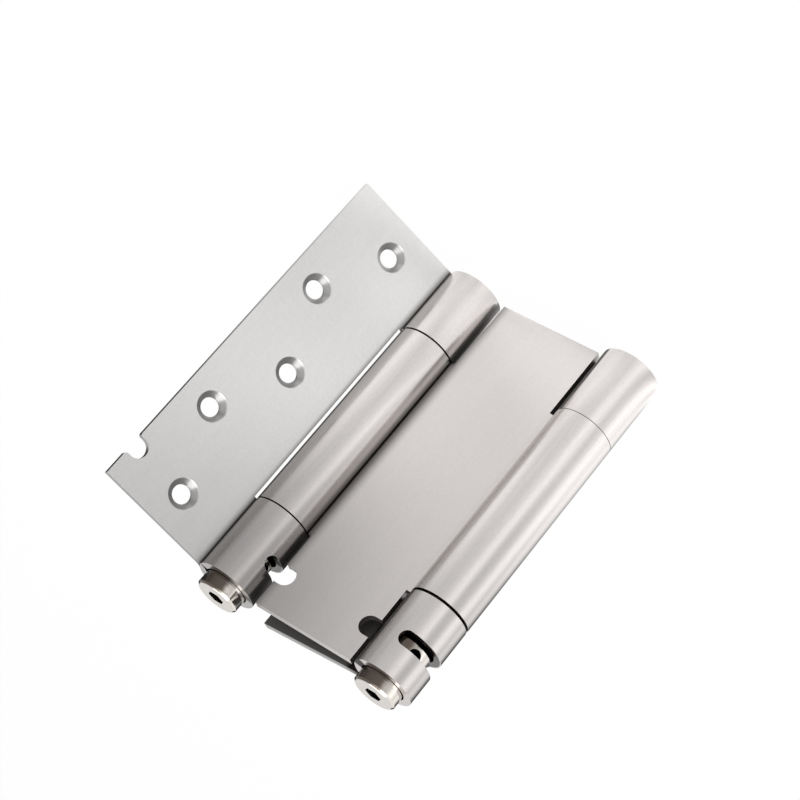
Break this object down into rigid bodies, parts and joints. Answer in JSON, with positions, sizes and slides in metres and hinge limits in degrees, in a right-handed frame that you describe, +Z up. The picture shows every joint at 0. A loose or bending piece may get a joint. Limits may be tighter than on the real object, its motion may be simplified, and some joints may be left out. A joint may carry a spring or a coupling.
{
  "type": "double acting spring hinge",
  "caption": "Double-acting spring hinge for a swinging cafe door: screw leaves on a centre web with sprung barrels and slotted adjusting spindles.",
  "frame": {"origin": "middle hole of the jamb leaf's line of three, on the face that lies against the jamb", "axes": "+Z up along the barrels with the adjusting spindles at the top, +Y out of the jamb leaf's face into the jamb, +X along the jamb leaf away from its barrel"},
  "size_m": [0.1007, 0.0632, 0.1299],
  "materials": {
    "sheet_steel": "satin plated sheet, fine lengthwise grain",
    "spindle_steel": "bright turned steel",
    "turned_steel": "plain turned steel",
    "spring_steel": "oiled spring wire",
    "bush_brass": "plain bearing brass"
  },
  "bodies": {
    "jamb_leaf": {"jamb_leaf": "sheet_steel", "jamb_plain_bush": "bush_brass"},
    "web": {"centre_web": "sheet_steel", "jamb_pivot_plug": "turned_steel", "jamb_plug_pin": "turned_steel", "jamb_plain_thrust_washer": "bush_brass", "jamb_torsion_spring": "spring_steel", "jamb_adjuster_bush": "bush_brass", "jamb_adjuster_thrust_washer": "bush_brass", "door_pivot_plug": "turned_steel", "door_plug_pin": "turned_steel", "door_plain_thrust_washer": "bush_brass", "door_torsion_spring": "spring_steel", "door_adjuster_bush": "bush_brass", "door_adjuster_thrust_washer": "bush_brass"},
    "door_leaf": {"door_leaf": "sheet_steel", "door_plain_bush": "bush_brass"},
    "jamb_spindle": {"jamb_adjusting_spindle": "spindle_steel"},
    "door_spindle": {"door_adjusting_spindle": "spindle_steel"}
  },
  "joints": [
    {"name": "jamb_pivot", "type": "hinge", "parent": "jamb_leaf", "child": "web", "pos_m": [-0.0276, -0.0045, 0], "axis": [0, 0, 1], "range_deg": [-46, 134], "deforming": ["jamb_torsion_spring"]},
    {"name": "door_pivot", "type": "hinge", "parent": "web", "child": "door_leaf", "pos_m": [-0.06928, -0.04766, 0], "axis": [0, 0, 1], "range_deg": [-10, 170], "deforming": ["door_torsion_spring"]},
    {"name": "jamb_adjuster", "type": "hinge", "parent": "jamb_leaf", "child": "jamb_spindle", "pos_m": [-0.0276, -0.0045, 0.0507], "axis": [0, 0, 1], "range_deg": [0, 360]},
    {"name": "door_adjuster", "type": "hinge", "parent": "door_leaf", "child": "door_spindle", "pos_m": [-0.06928, -0.04766, 0.0507], "axis": [0, 0, 1], "range_deg": [0, 360]}
  ]
}
